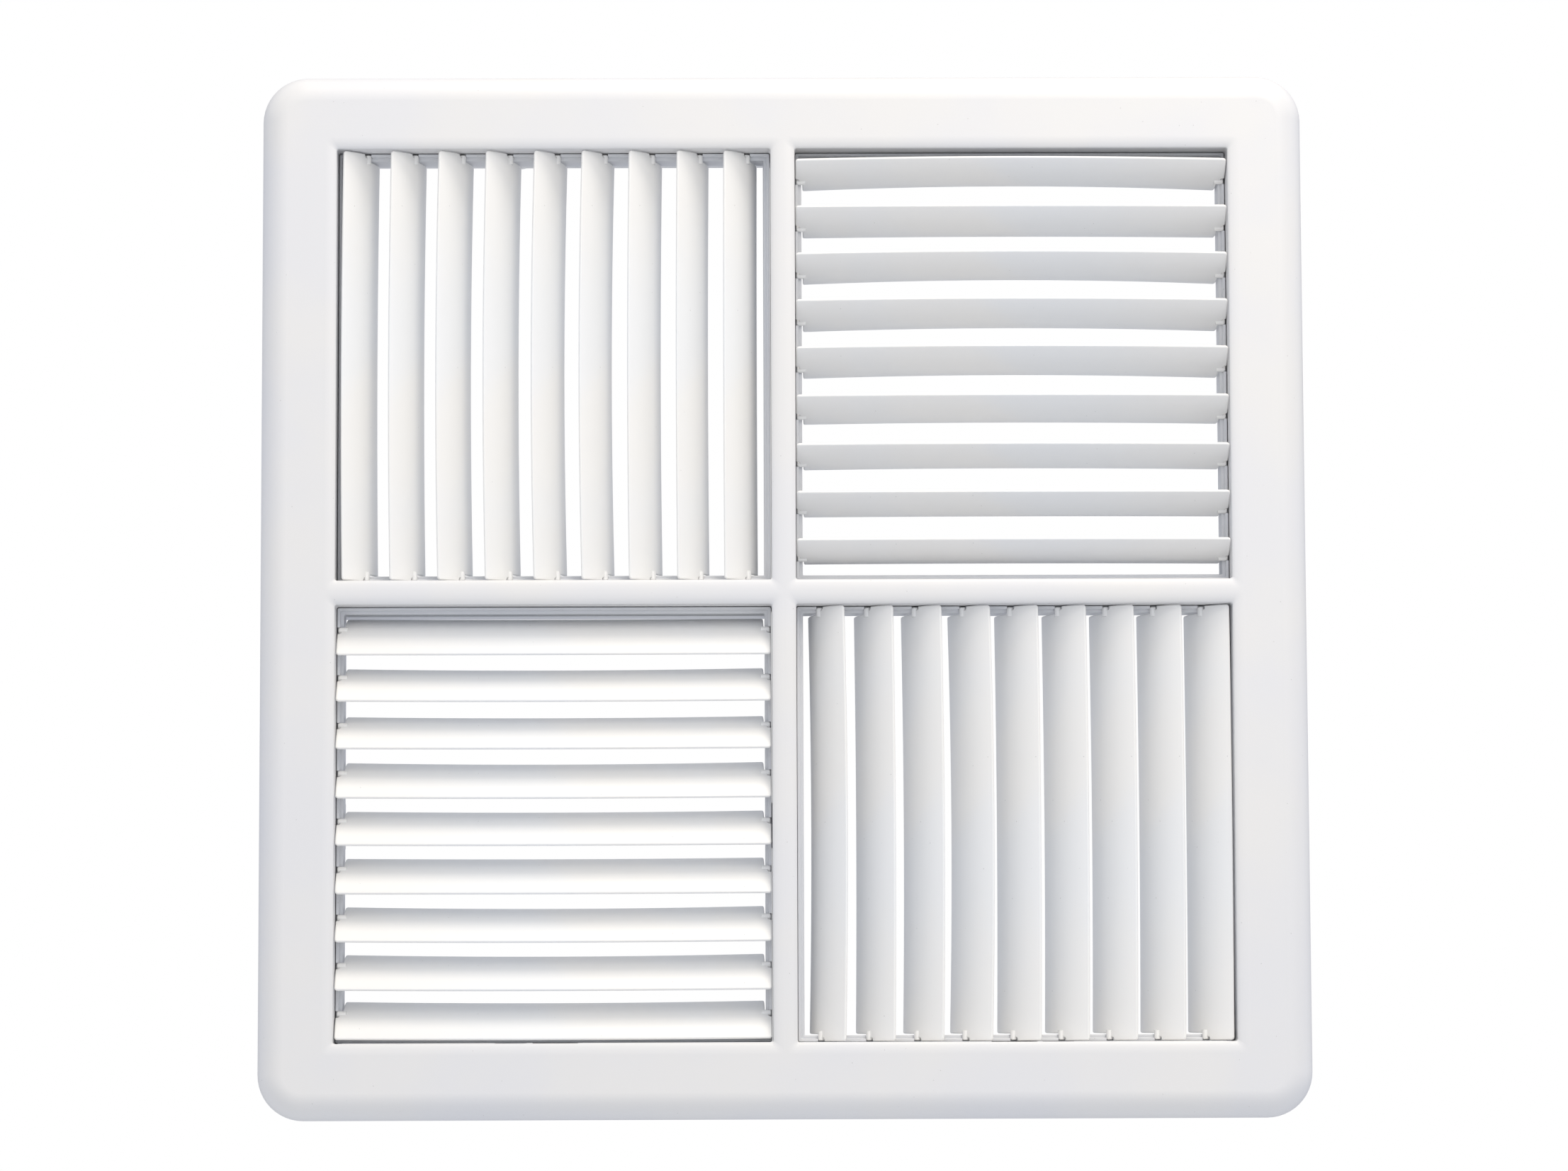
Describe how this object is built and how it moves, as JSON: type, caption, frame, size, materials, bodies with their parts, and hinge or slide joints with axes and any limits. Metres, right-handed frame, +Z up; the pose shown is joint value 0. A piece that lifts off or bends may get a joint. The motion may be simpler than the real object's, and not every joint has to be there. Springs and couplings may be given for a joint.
{
  "type": "ceiling air diffuser",
  "caption": "Square four-way ceiling air diffuser: flanged face frame with a cross of bars, four lift-out cores, and curved blades that tilt on end pins.",
  "frame": {"origin": "centre of the flange's back plane, where it meets the ceiling", "axes": "+Z up through the ceiling, square to the face, which looks down -Z; X and Y along the flange's sides, and the front_left core throws air towards -X"},
  "size_m": [0.46, 0.46, 0.05],
  "materials": {
    "frame_plastic": "white ABS, satin moulded",
    "core_plastic": "white ABS, satin moulded",
    "zinc_steel": "zinc-plated steel",
    "foam": "closed-cell foam"
  },
  "bodies": {
    "frame": {"face_frame": "frame_plastic", "ceiling_seal": "foam", "collar_screw_1": "zinc_steel", "collar_screw_2": "zinc_steel", "collar_screw_3": "zinc_steel", "collar_screw_4": "zinc_steel"},
    "front_left_core": {"front_left_core_frame": "core_plastic"},
    "front_left_blade_1": {"front_left_blade_1": "core_plastic"},
    "front_left_blade_2": {"front_left_blade_2": "core_plastic"},
    "front_left_blade_3": {"front_left_blade_3": "core_plastic"},
    "front_left_blade_4": {"front_left_blade_4": "core_plastic"},
    "front_left_blade_5": {"front_left_blade_5": "core_plastic"},
    "front_left_blade_6": {"front_left_blade_6": "core_plastic"},
    "front_left_blade_7": {"front_left_blade_7": "core_plastic"},
    "front_left_blade_8": {"front_left_blade_8": "core_plastic"},
    "front_left_blade_9": {"front_left_blade_9": "core_plastic"},
    "front_right_core": {"front_right_core_frame": "core_plastic"},
    "front_right_blade_1": {"front_right_blade_1": "core_plastic"},
    "front_right_blade_2": {"front_right_blade_2": "core_plastic"},
    "front_right_blade_3": {"front_right_blade_3": "core_plastic"},
    "front_right_blade_4": {"front_right_blade_4": "core_plastic"},
    "front_right_blade_5": {"front_right_blade_5": "core_plastic"},
    "front_right_blade_6": {"front_right_blade_6": "core_plastic"},
    "front_right_blade_7": {"front_right_blade_7": "core_plastic"},
    "front_right_blade_8": {"front_right_blade_8": "core_plastic"},
    "front_right_blade_9": {"front_right_blade_9": "core_plastic"},
    "back_right_core": {"back_right_core_frame": "core_plastic"},
    "back_right_blade_1": {"back_right_blade_1": "core_plastic"},
    "back_right_blade_2": {"back_right_blade_2": "core_plastic"},
    "back_right_blade_3": {"back_right_blade_3": "core_plastic"},
    "back_right_blade_4": {"back_right_blade_4": "core_plastic"},
    "back_right_blade_5": {"back_right_blade_5": "core_plastic"},
    "back_right_blade_6": {"back_right_blade_6": "core_plastic"},
    "back_right_blade_7": {"back_right_blade_7": "core_plastic"},
    "back_right_blade_8": {"back_right_blade_8": "core_plastic"},
    "back_right_blade_9": {"back_right_blade_9": "core_plastic"},
    "back_left_core": {"back_left_core_frame": "core_plastic"},
    "back_left_blade_1": {"back_left_blade_1": "core_plastic"},
    "back_left_blade_2": {"back_left_blade_2": "core_plastic"},
    "back_left_blade_3": {"back_left_blade_3": "core_plastic"},
    "back_left_blade_4": {"back_left_blade_4": "core_plastic"},
    "back_left_blade_5": {"back_left_blade_5": "core_plastic"},
    "back_left_blade_6": {"back_left_blade_6": "core_plastic"},
    "back_left_blade_7": {"back_left_blade_7": "core_plastic"},
    "back_left_blade_8": {"back_left_blade_8": "core_plastic"},
    "back_left_blade_9": {"back_left_blade_9": "core_plastic"}
  },
  "joints": [
    {"name": "front_left_core_slide", "type": "slide", "parent": "frame", "child": "front_left_core", "axis": [0, 0, -1], "range_m": [0, 0.028]},
    {"name": "front_left_blade_1_tilt", "type": "hinge", "parent": "front_left_core", "child": "front_left_blade_1", "pos_m": [-0.18375, -0.101, -0.0003], "axis": [0, -1, 0], "range_deg": [-8, 19]},
    {"name": "front_left_blade_2_tilt", "type": "hinge", "parent": "front_left_core", "child": "front_left_blade_2", "pos_m": [-0.16275, -0.101, -0.0003], "axis": [0, -1, 0], "range_deg": [-11, 19]},
    {"name": "front_left_blade_3_tilt", "type": "hinge", "parent": "front_left_core", "child": "front_left_blade_3", "pos_m": [-0.14175, -0.101, -0.0003], "axis": [0, -1, 0], "range_deg": [-11, 19]},
    {"name": "front_left_blade_4_tilt", "type": "hinge", "parent": "front_left_core", "child": "front_left_blade_4", "pos_m": [-0.12075, -0.101, -0.0003], "axis": [0, -1, 0], "range_deg": [-10, 20]},
    {"name": "front_left_blade_5_tilt", "type": "hinge", "parent": "front_left_core", "child": "front_left_blade_5", "pos_m": [-0.09975, -0.101, -0.0003], "axis": [0, -1, 0], "range_deg": [-12, 18]},
    {"name": "front_left_blade_6_tilt", "type": "hinge", "parent": "front_left_core", "child": "front_left_blade_6", "pos_m": [-0.07875, -0.101, -0.0003], "axis": [0, -1, 0], "range_deg": [-12, 18]},
    {"name": "front_left_blade_7_tilt", "type": "hinge", "parent": "front_left_core", "child": "front_left_blade_7", "pos_m": [-0.05775, -0.101, -0.0003], "axis": [0, -1, 0], "range_deg": [-11, 19]},
    {"name": "front_left_blade_8_tilt", "type": "hinge", "parent": "front_left_core", "child": "front_left_blade_8", "pos_m": [-0.03675, -0.101, -0.0003], "axis": [0, -1, 0], "range_deg": [-12, 18]},
    {"name": "front_left_blade_9_tilt", "type": "hinge", "parent": "front_left_core", "child": "front_left_blade_9", "pos_m": [-0.01575, -0.101, -0.0003], "axis": [0, -1, 0], "range_deg": [-10, 20]},
    {"name": "front_right_core_slide", "type": "slide", "parent": "frame", "child": "front_right_core", "axis": [0, 0, -1], "range_m": [0, 0.028]},
    {"name": "front_right_blade_1_tilt", "type": "hinge", "parent": "front_right_core", "child": "front_right_blade_1", "pos_m": [0.101, -0.18375, -0.0003], "axis": [1, 0, 0], "range_deg": [-11, 9]},
    {"name": "front_right_blade_2_tilt", "type": "hinge", "parent": "front_right_core", "child": "front_right_blade_2", "pos_m": [0.101, -0.16275, -0.0003], "axis": [1, 0, 0], "range_deg": [-20, 10]},
    {"name": "front_right_blade_3_tilt", "type": "hinge", "parent": "front_right_core", "child": "front_right_blade_3", "pos_m": [0.101, -0.14175, -0.0003], "axis": [1, 0, 0], "range_deg": [-20, 10]},
    {"name": "front_right_blade_4_tilt", "type": "hinge", "parent": "front_right_core", "child": "front_right_blade_4", "pos_m": [0.101, -0.12075, -0.0003], "axis": [1, 0, 0], "range_deg": [-19, 11]},
    {"name": "front_right_blade_5_tilt", "type": "hinge", "parent": "front_right_core", "child": "front_right_blade_5", "pos_m": [0.101, -0.09975, -0.0003], "axis": [1, 0, 0], "range_deg": [-19, 11]},
    {"name": "front_right_blade_6_tilt", "type": "hinge", "parent": "front_right_core", "child": "front_right_blade_6", "pos_m": [0.101, -0.07875, -0.0003], "axis": [1, 0, 0], "range_deg": [-21, 9]},
    {"name": "front_right_blade_7_tilt", "type": "hinge", "parent": "front_right_core", "child": "front_right_blade_7", "pos_m": [0.101, -0.05775, -0.0003], "axis": [1, 0, 0], "range_deg": [-24, 6]},
    {"name": "front_right_blade_8_tilt", "type": "hinge", "parent": "front_right_core", "child": "front_right_blade_8", "pos_m": [0.101, -0.03675, -0.0003], "axis": [1, 0, 0], "range_deg": [-24, 6]},
    {"name": "front_right_blade_9_tilt", "type": "hinge", "parent": "front_right_core", "child": "front_right_blade_9", "pos_m": [0.101, -0.01575, -0.0003], "axis": [1, 0, 0], "range_deg": [-24, 6]},
    {"name": "back_right_core_slide", "type": "slide", "parent": "frame", "child": "back_right_core", "axis": [0, 0, -1], "range_m": [0, 0.028]},
    {"name": "back_right_blade_1_tilt", "type": "hinge", "parent": "back_right_core", "child": "back_right_blade_1", "pos_m": [0.18375, 0.101, -0.0003], "axis": [0, 1, 0], "range_deg": [-1, 29]},
    {"name": "back_right_blade_2_tilt", "type": "hinge", "parent": "back_right_core", "child": "back_right_blade_2", "pos_m": [0.16275, 0.101, -0.0003], "axis": [0, 1, 0], "range_deg": [-1, 29]},
    {"name": "back_right_blade_3_tilt", "type": "hinge", "parent": "back_right_core", "child": "back_right_blade_3", "pos_m": [0.14175, 0.101, -0.0003], "axis": [0, 1, 0], "range_deg": [-1, 29]},
    {"name": "back_right_blade_4_tilt", "type": "hinge", "parent": "back_right_core", "child": "back_right_blade_4", "pos_m": [0.12075, 0.101, -0.0003], "axis": [0, 1, 0], "range_deg": [-1, 29]},
    {"name": "back_right_blade_5_tilt", "type": "hinge", "parent": "back_right_core", "child": "back_right_blade_5", "pos_m": [0.09975, 0.101, -0.0003], "axis": [0, 1, 0], "range_deg": [-1, 29]},
    {"name": "back_right_blade_6_tilt", "type": "hinge", "parent": "back_right_core", "child": "back_right_blade_6", "pos_m": [0.07875, 0.101, -0.0003], "axis": [0, 1, 0], "range_deg": [-2, 28]},
    {"name": "back_right_blade_7_tilt", "type": "hinge", "parent": "back_right_core", "child": "back_right_blade_7", "pos_m": [0.05775, 0.101, -0.0003], "axis": [0, 1, 0], "range_deg": [-4, 26]},
    {"name": "back_right_blade_8_tilt", "type": "hinge", "parent": "back_right_core", "child": "back_right_blade_8", "pos_m": [0.03675, 0.101, -0.0003], "axis": [0, 1, 0], "range_deg": [-5, 25]},
    {"name": "back_right_blade_9_tilt", "type": "hinge", "parent": "back_right_core", "child": "back_right_blade_9", "pos_m": [0.01575, 0.101, -0.0003], "axis": [0, 1, 0], "range_deg": [-8, 22]},
    {"name": "back_left_core_slide", "type": "slide", "parent": "frame", "child": "back_left_core", "axis": [0, 0, -1], "range_m": [0, 0.028]},
    {"name": "back_left_blade_1_tilt", "type": "hinge", "parent": "back_left_core", "child": "back_left_blade_1", "pos_m": [-0.101, 0.18375, -0.0003], "axis": [-1, 0, 0], "range_deg": [-2, 25]},
    {"name": "back_left_blade_2_tilt", "type": "hinge", "parent": "back_left_core", "child": "back_left_blade_2", "pos_m": [-0.101, 0.16275, -0.0003], "axis": [-1, 0, 0], "range_deg": [-7, 23]},
    {"name": "back_left_blade_3_tilt", "type": "hinge", "parent": "back_left_core", "child": "back_left_blade_3", "pos_m": [-0.101, 0.14175, -0.0003], "axis": [-1, 0, 0], "range_deg": [-7, 23]},
    {"name": "back_left_blade_4_tilt", "type": "hinge", "parent": "back_left_core", "child": "back_left_blade_4", "pos_m": [-0.101, 0.12075, -0.0003], "axis": [-1, 0, 0], "range_deg": [-6, 24]},
    {"name": "back_left_blade_5_tilt", "type": "hinge", "parent": "back_left_core", "child": "back_left_blade_5", "pos_m": [-0.101, 0.09975, -0.0003], "axis": [-1, 0, 0], "range_deg": [-7, 23]},
    {"name": "back_left_blade_6_tilt", "type": "hinge", "parent": "back_left_core", "child": "back_left_blade_6", "pos_m": [-0.101, 0.07875, -0.0003], "axis": [-1, 0, 0], "range_deg": [-5, 25]},
    {"name": "back_left_blade_7_tilt", "type": "hinge", "parent": "back_left_core", "child": "back_left_blade_7", "pos_m": [-0.101, 0.05775, -0.0003], "axis": [-1, 0, 0], "range_deg": [-8, 22]},
    {"name": "back_left_blade_8_tilt", "type": "hinge", "parent": "back_left_core", "child": "back_left_blade_8", "pos_m": [-0.101, 0.03675, -0.0003], "axis": [-1, 0, 0], "range_deg": [-7, 23]},
    {"name": "back_left_blade_9_tilt", "type": "hinge", "parent": "back_left_core", "child": "back_left_blade_9", "pos_m": [-0.101, 0.01575, -0.0003], "axis": [-1, 0, 0], "range_deg": [-3, 27]}
  ]
}
